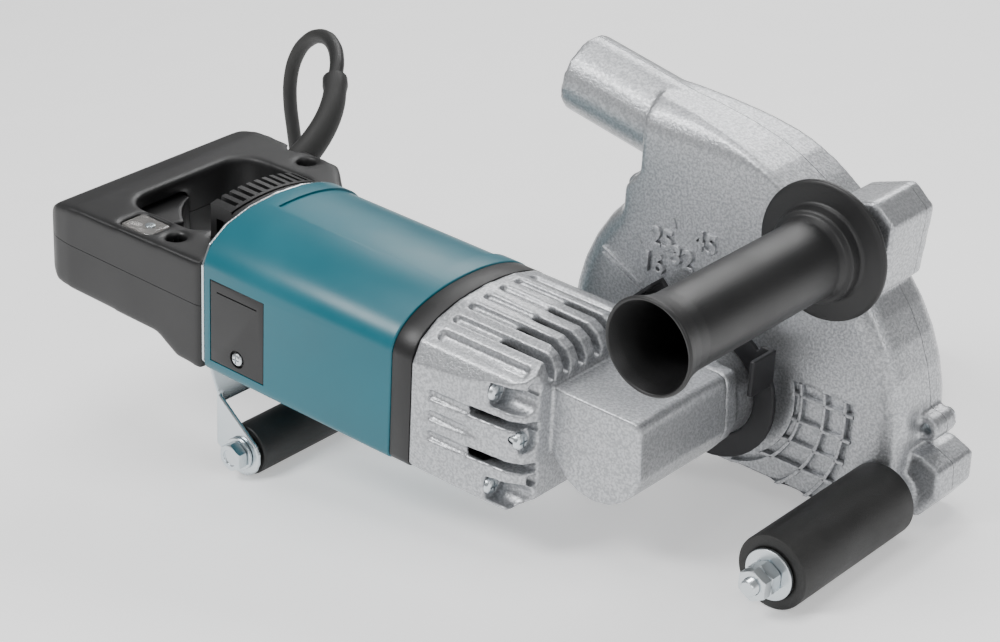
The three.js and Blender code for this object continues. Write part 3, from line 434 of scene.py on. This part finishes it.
def cast(bm, voxel, passes):
    """Gives a solid the soft edges of a casting or moulding: remeshed, then relaxed."""
    loose = scratch(bm)
    remesh = loose.modifiers.new("skin", "REMESH")
    remesh.mode, remesh.voxel_size, remesh.use_smooth_shade = "VOXEL", voxel, True
    result = applied(loose)
    for _ in range(passes):
        bmesh.ops.smooth_vert(result, verts=result.verts, factor=0.5, use_axis_x=True, use_axis_y=True,
                              use_axis_z=True)
    return result


def halves(bm, point, normal, gap=0.15):
    """Splits a solid along a plane into two closed ones, each drawn back by half the gap."""
    made = []
    for side in (1, -1):
        part = bm.copy()
        way = Vector(normal) * side
        cut = bmesh.ops.bisect_plane(part, geom=part.verts[:] + part.edges[:] + part.faces[:], dist=1e-5,
                                     plane_co=Vector(point) + way * gap, plane_no=way, clear_inner=True)
        rim = [e for e in cut["geom_cut"] if isinstance(e, bmesh.types.BMEdge)]
        bmesh.ops.triangle_fill(part, edges=rim, use_beauty=True, use_dissolve=False)
        made.append(part)
    bm.free()
    return made


# ---------------------------------------------------------------- the mains lead

CORD_D = 0.008
CORD_ROUTE = [
    (-170, 92.1, 150.4), (-175.7, 100.5, 156.7), (-186.7, 109.6, 162.4), (-201.4, 116.3, 163.3),
    (-216.4, 120, 158), (-228, 121.4, 147.8), (-234.6, 121.4, 135), (-236.9, 120.8, 120.9),
    (-236.8, 120.6, 103), (-236.4, 120.6, 84), (-236.4, 121.1, 65), (-234.6, 121.6, 46),
    (-227.5, 122, 29.5), (-214, 121.6, 16), (-197, 120.6, 7.5), (-178, 118.6, 4.6),
    (-152, 115, 4.3), (-115, 109.5, 4.3), (-75, 103.5, 4.3), (-30, 98.6, 4.3), (15, 96.2, 4.3),
    (59.5, 96, 4.3),
]
COIL_MIDDLE = Vector((90, 150, 0))
COLUMNS = (54, 46, 38)  # radii of the turns that lie beside each other
LAYER = 8.05
LAYERS = 4


def ease(t):
    t = min(max(t, 0), 1)
    return t * t * (3 - 2 * t)


def coil_points():
    """Turns laid column by column and layer by layer; each change takes a quarter turn."""
    changes = []  # (angle where it starts, change of radius, change of height)
    window = 2 * 360 - 180
    for layer in range(LAYERS):
        inwards = layer % 2 == 0
        for _ in range(len(COLUMNS) - 1):
            changes.append((window, -8 if inwards else 8, 0))
            window += 360
        if layer < LAYERS - 1:
            changes.append((window, 0, LAYER))
            window += 360 - 90
    last = window - 360 + 90
    end = last + (360 - last % 360) + 180
    points = []
    for step in range(1, int(end // 15) + 1):
        turned_by = step * 15
        radius = COLUMNS[0] + sum(dr * ease((turned_by - at) / 90) for at, dr, _ in changes)
        height = 4.3 + sum(dz * ease((turned_by - at) / 90) for at, _, dz in changes)
        angle = math.radians(turned_by - 90)
        points.append(COIL_MIDDLE + Vector((radius * math.cos(angle), radius * math.sin(angle), height)))
    return points


def mains_lead():
    route = [Vector(p) for p in CORD_ROUTE] + coil_points()
    plug_low, plug_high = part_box("plug")
    neck = Vector((plug_high.x + 0.0006, (plug_low.y + plug_high.y) / 2, 0.0184)) / MM
    route += [route[-1].lerp(neck, 0.5) + Vector((0, 0.6, 0)), neck]
    curve = bpy.data.curves.new("mains_lead", "CURVE")
    curve.dimensions = "3D"
    curve.bevel_depth = CORD_D / 2
    curve.bevel_resolution = 4
    curve.resolution_u = 4
    curve.use_fill_caps = True
    spline = curve.splines.new("BEZIER")
    spline.bezier_points.add(len(route) - 1)
    for point, at in zip(spline.bezier_points, route):
        point.co = at * MM
        point.handle_left_type = point.handle_right_type = "AUTO"
    curve.materials.append(MATERIALS["rubber"])
    lead = bpy.data.objects.new("mains_lead", curve)
    bpy.context.scene.collection.objects.link(lead)
    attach(lead, "tool_body")
    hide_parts("power_cord", "cord_coil")
    return lead


# ---------------------------------------------------------------- sizes that the pieces share, in millimetres

MOTOR_Y = -68
MOTOR_HALF = 50
MOTOR_TOP, MOTOR_BOTTOM = 40, -38
MOTOR_REAR, MOTOR_FRONT = -222, -101
BAND_FRONT, VENT_FRONT = -89, -25
GUARD_SEAM = 27.15
HANDLE_SPLIT = -5
M5, M8 = 2.5, 4  # radii
FACE_GAP = 0.3


def motor_section(bm, inset, start, end):
    """The motor body's arched section, drawn in by the inset and run along X."""
    half = MOTOR_HALF - inset
    near, far = MOTOR_Y - half, MOTOR_Y + half
    top, bottom, shoulder = MOTOR_TOP - inset, MOTOR_BOTTOM + inset, 18 - inset * 0.5
    arch = [(far, shoulder), (far - 2, top - 7), (MOTOR_Y + half * 0.52, top), (MOTOR_Y, top)]
    rise = [(MOTOR_Y, top), (MOTOR_Y - half * 0.52, top), (near + 2, top - 7), (near, shoulder)]
    points = []
    for a, b, c, d in (arch, rise):
        for k in range(18):
            t = k / 18
            weights = ((1 - t) ** 3, 3 * t * (1 - t) ** 2, 3 * t * t * (1 - t), t ** 3)
            points.append([sum(w * p[i] for w, p in zip(weights, (a, b, c, d))) for i in (0, 1)])
    points.append((near, shoulder))
    for middle_y, way in ((near + 4, 1), (far - 4, -1)):
        for k in range(5):
            angle = math.radians(22.5 * k)
            across, down = (math.cos(angle), math.sin(angle)) if way == 1 else (math.sin(angle), math.cos(angle))
            points.append((middle_y - way * 4 * across, bottom + 4 - 4 * down))
    face = bm.faces.new([bm.verts.new((start, y, z)) for y, z in points])
    pushed = bmesh.ops.extrude_face_region(bm, geom=[face])["geom"]
    moved = [v for v in pushed if isinstance(v, bmesh.types.BMVert)]
    bmesh.ops.translate(bm, verts=moved, vec=(end - start, 0, 0))
    bmesh.ops.recalc_face_normals(bm, faces=bm.faces)
    return bm


def body_of_motor(inset, start, end):
    return motor_section(bmesh.new(), inset, start, end)


def blocks(*corners):
    bm = bmesh.new()
    for low, high in corners:
        block(bm, low, high)
    return bm


def rod(axis, centre, r, start, end, steps=48, chamfer=0.4):
    return turned(axis, centre, [(0, start), (r, start), (r, end), (0, end)], chamfer, steps)


def tube(axis, centre, outer, inner, start, end, chamfer=0.5, steps=64):
    profile = [(inner, start), (outer, start), (outer, end), (inner, end)]
    return turned(axis, centre, profile, chamfer, steps)


def merge(*shapes):
    """Loose shapes as one bmesh."""
    whole = bmesh.new()
    for shape in shapes:
        mesh = bpy.data.meshes.new("part")
        shape.to_mesh(mesh)
        shape.free()
        whole.from_mesh(mesh)
        bpy.data.meshes.remove(mesh)
    return whole


# ---------------------------------------------------------------- fasteners

def pan_screw(node, axis, centre, seat, way, shank, length):
    """A pan-head screw with a cross recess, its head standing off the seat against the way it points."""
    head = shank * 1.75
    top = seat - way * shank * 1.1
    profile = [(0, top), (head * 0.55, top), (head * 0.9, top + way * shank * 0.35), (head, seat), (shank, seat),
               (shank, seat + way * length), (0, seat + way * length)]
    body = turned(axis, centre, profile, 0.25, 32)
    deep = shank * 0.6
    near, far = sorted((top - way, top + way * deep))
    arm, thick = head * 0.6, shank * 0.17
    middle = Vector(centre)
    along = "xyz".index(axis)
    slots = []
    for wide in range(3):
        if wide == along:
            continue
        low, high = middle - Vector((thick,) * 3), middle + Vector((thick,) * 3)
        low[wide], high[wide] = middle[wide] - arm, middle[wide] + arm
        low[along], high[along] = near, far
        slots.append((low, high))
    cross = carved(blocks(slots[0]), blocks(slots[1]), "UNION")
    return in_place_of(node, carved(body, cross))


def hexagon(axis, centre, corner, start, end, bore=0.0):
    """A hexagon nut or head: a six-sided prism whose corners are turned off at both ends."""
    prism = spin(bmesh.new(), axis, centre, [(0, start), (corner, start), (corner, end), (0, end)], 6)
    tall = end - start
    flat = corner * 0.87
    low = start + 0.12 * tall
    high = end - 0.12 * tall
    dome = [(0, start), (flat, start), (corner * 1.02, low), (corner * 1.02, high), (flat, end), (0, end)]
    shape = carved(prism, spin(bmesh.new(), axis, centre, dome, 48), "INTERSECT")
    if bore:
        way = [(0, start - 1), (bore, start - 1), (bore, end + 1), (0, end + 1)]
        shape = carved(shape, spin(bmesh.new(), axis, centre, way, 32))
    return shape


def threaded(axis, centre, r, start, end, pitch=1.25):
    """A rod whose surface rises and falls in rings, one to each pitch of its thread."""
    ways = 1 if end > start else -1
    rings = int(abs(end - start) / pitch)
    profile = [(0, start), (r * 0.8, start)]
    for i in range(rings):
        at = start + ways * pitch * (i + 0.3)
        profile += [(r * 0.84, at), (r, at + ways * pitch * 0.5)]
    profile += [(r * 0.84, end), (0, end)]
    return spin(bmesh.new(), axis, centre, profile, 40)


FRONT_ROLLER = (90.5, 0, -26.5)
REAR_ROLLER = (-207, 0, -83)
FRONT_NEAR, FRONT_FAR = -86, -1
REAR_NEAR, REAR_FAR = -104, -32
CHEEK_NEAR, CHEEK_FAR = -108, -28


def roller(node, centre, r, near, far):
    """A rubber sleeve, its ends a little dished round the bore."""
    bore = M8 + 0.5
    profile = [(bore, near + 1.2), (r * 0.62, near + 1.2), (r * 0.72, near), (r, near), (r, far), (r * 0.72, far),
               (r * 0.62, far - 1.2), (bore, far - 1.2)]
    in_place_of(node, turned("y", centre, profile, 1.1, 72))


def front_roller_set():
    roller("front_roller", FRONT_ROLLER, 17.5, FRONT_NEAR, FRONT_FAR)
    in_place_of("front_roller_washer", tube("y", FRONT_ROLLER, 12, M8 + 0.3, FRONT_NEAR - 2.5, FRONT_NEAR - 0.5))
    in_place_of("front_roller_nut", hexagon("y", FRONT_ROLLER, 7.8, FRONT_NEAR - 9.3, FRONT_NEAR - 2.8, M8 + 0.3))
    in_place_of(
        "front_roller_lock_nut", hexagon("y", FRONT_ROLLER, 7.8, FRONT_NEAR - 14.5, FRONT_NEAR - 9.6, M8 + 0.3))
    axle = merge(
        threaded("y", FRONT_ROLLER, M8, -103.8, -84),
        rod("y", FRONT_ROLLER, M8 - 0.05, -84.2, 44.5, chamfer=0.05),
        hexagon("y", FRONT_ROLLER, 7.5, 44.3, 49.5),
    )
    in_place_of("front_roller_axle", axle)


def rear_roller_set():
    roller("rear_roller", REAR_ROLLER, 13, REAR_NEAR, REAR_FAR)
    in_place_of("rear_roller_washer", tube("y", REAR_ROLLER, 8.5, M8 + 0.3, CHEEK_NEAR - 1.9, CHEEK_NEAR - 0.3))
    in_place_of("rear_roller_nut", hexagon("y", REAR_ROLLER, 7.5, CHEEK_FAR + 0.3, CHEEK_FAR + 5.8, M8 + 0.3))
    head = hexagon("y", REAR_ROLLER, 7.5, CHEEK_NEAR - 7.6, CHEEK_NEAR - 2.2)
    dish_start, dish_end = CHEEK_NEAR - 9, CHEEK_NEAR - 6.8
    dish = turned("y", REAR_ROLLER, [(0, dish_start), (4.6, dish_start), (4.2, dish_end), (0, dish_end)], 0.3)
    shank = threaded("y", REAR_ROLLER, M8, -21, CHEEK_NEAR - 2.4)
    in_place_of("rear_roller_bolt", merge(carved(head, dish), shank))
    in_place_of("rear_roller_bracket", cast(cad_shape("rear_roller_bracket"), 0.6, 4))


SCREW_SINK = 1.6
HOUSING_SCREWS = ((-46, -111.5, 18), (-31, -111, -1), (-46, -111.5, -30), (-44, -35, 24))
HANDLE_SCREWS = ((-272, 4), (-254, -105))
GUARD_SCREW_ANGLES = (137, 203, 2)
GUARD_SCREW_R = 97


def screws():
    for side, name in ((-1, "near"), (1, "far")):
        seat = MOTOR_Y + side * (MOTOR_HALF - SCREW_SINK + FACE_GAP)
        pan_screw("brush_cover_screw_" + name, "y", (-199.5, 0, -24), seat, -side, M5 * 0.8, 8)
    for i, (x, y, z) in enumerate(HOUSING_SCREWS):
        pan_screw(f"gear_housing_screw_{i + 1}", "x", (0, y, z), x + FACE_GAP, -1, M5, 34)
    for i, angle in enumerate(GUARD_SCREW_ANGLES):
        x, z = (GUARD_SCREW_R * part(math.radians(angle)) for part in (math.cos, math.sin))
        pan_screw(f"guard_screw_{i + 1}", "y", (x, 0, z), 36.3, -1, M5, 14)
    for i, (x, y) in enumerate(HANDLE_SCREWS):
        pan_screw(f"handle_screw_{i + 1}", "z", (x, y, 0), 6.3, -1, M5, 26)


# ---------------------------------------------------------------- motor body

BRUSH_LOW, BRUSH_HIGH = (-217.5, -31), (-182, 12.5)
BRUSH_DEEP = 3


def motor_housing():
    """The teal shell: a bevelled outside, a shallow panel on its top and a pocket for each brush cover."""
    outside = softened(body_of_motor(0, MOTOR_REAR, MOTOR_FRONT - FACE_GAP), 0.9, 3, 40)
    panel = carved(blocks(((-212, -78, 20), (-112, -14, 60))), body_of_motor(1, MOTOR_REAR - 5, MOTOR_FRONT + 5))
    shell = carved(outside, panel)
    shell = carved(shell, body_of_motor(4, MOTOR_REAR + 4, MOTOR_FRONT + 1))
    for side in (-1, 1):
        face = MOTOR_Y + side * MOTOR_HALF
        near, far = sorted((face - side * (BRUSH_DEEP + FACE_GAP), face + side))
        low = (BRUSH_LOW[0] - FACE_GAP, near, BRUSH_LOW[1] - FACE_GAP)
        high = (BRUSH_HIGH[0] + FACE_GAP, far, BRUSH_HIGH[1] + FACE_GAP)
        shell = carved(shell, blocks((low, high)))
    shell = carved(shell, rod("x", (0, MOTOR_Y, 0), 31, MOTOR_REAR - 1, MOTOR_REAR + 5, chamfer=0))
    in_place_of("motor_housing", shell)


def brush_cover(side, name):
    face = MOTOR_Y + side * MOTOR_HALF
    near, far = sorted((face - side * BRUSH_DEEP, face))
    plate = softened(blocks(((BRUSH_LOW[0], near, BRUSH_LOW[1]), (BRUSH_HIGH[0], far, BRUSH_HIGH[1]))), 0.6)
    inner, outer = sorted((face - side * SCREW_SINK, face + side * 2))
    plate = carved(plate, rod("y", (-199.5, 0, -24), 4.6, inner, outer, chamfer=0))
    deep, proud = sorted((face - side * 0.7, face + side))
    line = blocks(((-213, deep, 6.8), (-186.5, proud, 7.5)))
    in_place_of("brush_cover_" + name, carved(plate, line))


def baffle_ring():
    ring = softened(body_of_motor(0.4, MOTOR_FRONT, BAND_FRONT - FACE_GAP), 0.5, 2, 40)
    in_place_of("baffle_ring", carved(ring, rod("x", (0, MOTOR_Y, 0), 33, MOTOR_FRONT - 1, BAND_FRONT + 1, chamfer=0)))


# ---------------------------------------------------------------- gear housing

TOP_GROOVES = [-107, -97, -86.5, -76, -65, -54, -43]
SIDE_GROOVES = [5.5, -5, -15.5]
GROOVE_DEEP = 2.9


def gear_housing():
    """The casting: grooves run over its top and near face into the open slots at its front."""
    half = 2.3
    over = [((-82, y - half, 22), (VENT_FRONT - 6, y + half, 60)) for y in TOP_GROOVES]
    beside = [((-79, -125, z - half), (-34.5, -110, z + half)) for z in SIDE_GROOVES]
    down = [((-30, y - half, 26), (VENT_FRONT + 2, y + half, 50)) for y in TOP_GROOVES[1:-1]]
    cutters = carved(blocks(*over, *beside), body_of_motor(GROOVE_DEEP, BAND_FRONT - 9, VENT_FRONT + 9))
    shape = carved(cad_shape("gear_housing"), cutters)
    shape = carved(shape, blocks(*down))
    in_place_of("gear_housing", cast(shape, 0.75, 4))
    in_place_of("bearing_box", cast(cad_shape("bearing_box"), 0.8, 5))
    in_place_of("depth_lever", cast(cad_shape("depth_lever"), 0.45, 3))


# ---------------------------------------------------------------- guard

RIB_DEEP = 2.3


def rib_sector(inner, outer, start, end):
    """The part of a ring beside the gear head that the ribs fill."""
    ring = tube("y", (0, 0, 0), outer, inner, start, end, chamfer=0.05, steps=96)
    return carved(ring, blocks(((8, start - 1, -43.5), (90, end + 1, 12))), "INTERSECT")


def guard():
    """Body and cover are cast as one shape and parted at the seam."""
    whole = cast(cad_shape("guard_body", "guard_cover"), 1.1, 9)
    whole = carved(whole, rib_sector(39, 71, -2, RIB_DEEP))
    cover, body = halves(whole, (0, GUARD_SEAM, 0), (0, 1, 0))
    in_place_of("guard_body", body)
    in_place_of("guard_cover", cover)


def number(text, x, z, size=13.5):
    """A raised figure on the guard's near face."""
    letters = bpy.data.curves.new("figure", "FONT")
    letters.body, letters.size = text, size
    letters.extrude, letters.bevel_depth = 0.75, 0.3
    letters.offset = 0.1
    letters.align_x, letters.align_y = "CENTER", "CENTER"
    loose = bpy.data.objects.new("figure", letters)
    bpy.context.scene.collection.objects.link(loose)
    bpy.context.view_layer.update()
    bm = applied(loose)
    bpy.data.curves.remove(letters)
    bm.transform(Matrix.Translation((x, -0.75, z)) @ Matrix.Rotation(math.radians(90), 4, "X"))
    from_bmesh("depth_number_" + text, bm, "casting", "guard")


def ray(bm, angle, inner, outer, width=1.3, height=1.3):
    """A raised bar on the guard's near face, pointing away from the spindle."""
    turn = Matrix.Rotation(-math.radians(angle), 4, "Y")
    size = Matrix.Diagonal((outer - inner, height * 2, width, 1))
    place = turn @ Matrix.Translation(((inner + outer) / 2, 0, 0)) @ size
    bmesh.ops.create_cube(bm, size=1.0, matrix=place)


DEPTH_NUMBERS = (("25", -41, 56), ("45", -17, 62), ("16", -45, 42), ("32", -29, 50))


def depth_scale():
    for text, x, z in DEPTH_NUMBERS:
        number(text, x, z)
    ticks = bmesh.new()
    for angle in (104, 116, 128, 140, 152):
        ray(ticks, angle, 41, 47)
    for angle in (118, 127, 137):
        ray(ticks, angle, 72, 77)
    from_bmesh("depth_ticks", softened(ticks, 0.3, 2), "casting", "guard")
    lines = bmesh.new()
    for shift in (0, 3.2):
        start, end = Vector((-75, 0, 37 + shift)), Vector((-51, 0, 26 + shift))
        slope = math.atan2(end.z - start.z, end.x - start.x)
        turn = Matrix.Translation((start + end) / 2) @ Matrix.Rotation(-slope, 4, "Y")
        bmesh.ops.create_cube(lines, size=1.0, matrix=turn @ Matrix.Diagonal(((end - start).length, 2.6, 0.9, 1)))
    from_bmesh("guard_lines", softened(lines, 0.25, 2), "casting", "guard")


def guard_ribs():
    """Curved and level ribs stand in the recess beside the gear head."""
    low, high = -0.5, RIB_DEEP + 0.2
    rings = [tube("y", (0, 0, 0), r + 1.8, r, low, high, chamfer=0.5, steps=96) for r in (42, 54.5, 65.5)]
    bars = [softened(blocks(((5, low, z - 0.9), (90, high, z + 0.9))), 0.5, 2) for z in (6, -7, -19, -31)]
    within = [carved(rib, rib_sector(39.2, 70.8, -2, RIB_DEEP + 1), "INTERSECT") for rib in rings + bars]
    from_bmesh("guard_ribs", merge(*within), "casting", "guard")


# ---------------------------------------------------------------- side grip

def side_grip():
    """A tube with a wide flange, a stepped collar and a belled, hollow mouth."""
    profile = [
        (6.3, -8), (32.5, -8), (32.5, -10.2), (31, -11), (23, -12.2), (22, -13.5), (21.6, -18.5), (19.2, -19.5),
        (18, -23), (18, -60), (18, -116), (19, -123), (20.6, -129), (22.2, -133.2), (21.6, -134.3), (20.4, -134.2),
        (18.6, -129), (16.4, -121), (15, -114), (13.5, -68), (6.3, -64),
    ]
    in_place_of("side_grip", turned("y", (51, 0, 86), profile, 0.9, 96))
    in_place_of("side_grip_bolt", rod("y", (51, 0, 86), 6, -60, 15))


# ---------------------------------------------------------------- handle

def handle():
    """Both shells are moulded as one soft loop and parted at the split."""
    whole = cast(cad_shape("handle_upper_shell", "handle_lower_shell"), 0.9, 26)
    upper, lower = halves(whole, (0, 0, HANDLE_SPLIT), (0, 0, 1))
    in_place_of("handle_upper_shell", upper)
    in_place_of("handle_lower_shell", lower)
    in_place_of("trigger", cast(cad_shape("trigger"), 0.6, 14))
    in_place_of("indicator_lens", softened(blocks(((-286, -112, 13.4), (-266, -97, 16.6))), 1.2, 4))
    from_bmesh("indicator_pin", rod("z", (-273, -104.5, 0), 2.6, 16.3, 17.4), "zinc", "tool_body")
    in_place_of("lock_button", turned(
        "z", (-322, -100, 0), [(0, -37), (3.6, -37), (5, -35.5), (5, -23), (0, -23)], 0.8))


def air_inlet():
    """The ribbed ring that lets cooling air in behind the motor."""
    ring = body_of_motor(2, -243, -224.3)
    keep = blocks(((-244, -92.6, -60), (-223, -20, 60)))
    ring = carved(ring, keep, "INTERSECT")
    ring = carved(ring, body_of_motor(8, -239, -223))
    teeth = [((-244, -88 + 5.4 * i, 22), (-231, -85.4 + 5.4 * i, 60)) for i in range(12)]
    ring = carved(ring, blocks(*teeth))
    groove = carved(blocks(((-229, -95, 15), (-227.5, -15, 60))), body_of_motor(3.2, -250, -200))
    in_place_of("air_inlet", carved(ring, groove))


BOOT = [Vector((-290, 10, 4)), Vector((-276, 32, 29)), Vector((-299, 53, 40))]


def strain_relief():
    """A curved rubber sleeve that thins towards a collar at its tip."""
    steps = 14
    curve = bpy.data.curves.new("sleeve", "CURVE")
    curve.dimensions, curve.bevel_depth, curve.bevel_resolution = "3D", 1.0, 8
    curve.use_fill_caps = True
    spline = curve.splines.new("POLY")
    spline.points.add(steps)
    for k, point in enumerate(spline.points):
        t = k / steps
        at = BOOT[0] * (1 - t) ** 2 + BOOT[1] * 2 * t * (1 - t) + BOOT[2] * t * t
        point.co = (*at, 1)
        tip = k >= steps - 1
        point.radius = 8.2 - 2.4 * t + (0.9 if tip else 0)
    loose = bpy.data.objects.new("sleeve", curve)
    bpy.context.scene.collection.objects.link(loose)
    bpy.context.view_layer.update()
    bm = applied(loose)
    bpy.data.curves.remove(curve)
    in_place_of("strain_relief", bm)


def plug():
    """The moulded plug body with its two pins."""
    low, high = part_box("plug")
    y, z = (low.y + high.y) / 2 / MM, 18.4
    nose, end = low.x / MM + 19, high.x / MM
    profile = [(0, nose), (17, nose), (18, nose + 1), (18, nose + 22), (15, nose + 27), (9, nose + 36), (7, nose + 42),
               (6, end), (0, end)]
    body = turned("x", (0, y, z), profile, 1.2)
    pins = [rod("x", (0, y + side, z), 2.4, nose - 19, nose + 1, chamfer=1.6) for side in (-9.5, 9.5)]
    in_place_of("plug", merge(body, *pins), place=Matrix.Scale(MM, 4))


front_roller_set()
rear_roller_set()
screws()
motor_housing()
brush_cover(-1, "near")
brush_cover(1, "far")
baffle_ring()
gear_housing()
guard()
depth_scale()
guard_ribs()
side_grip()
handle()
air_inlet()
strain_relief()
plug()
mains_lead()


# ---------------------------------------------------------------- end

def floor():
    bm = bmesh.new()
    bmesh.ops.create_grid(bm, x_segments=1, y_segments=1, size=6)
    mesh = bpy.data.meshes.new("floor")
    bm.to_mesh(mesh)
    bm.free()
    ground = bpy.data.objects.new("floor", mesh)
    finish = Finish("pale_floor")
    pale = finish.group(GRAIN, Scale=60.0, Base=(0.86, 0.86, 0.86), Worn=(0.88, 0.88, 0.88), Smooth=0.6, Rough=0.7)
    finish.colour(pale.outputs["Color"])
    finish.shader.inputs["Emission Color"].default_value = (1, 1, 1, 1)
    finish.shader.inputs["Emission Strength"].default_value = 0.5
    mesh.materials.append(finish.material)
    bpy.context.scene.collection.objects.link(ground)


floor()
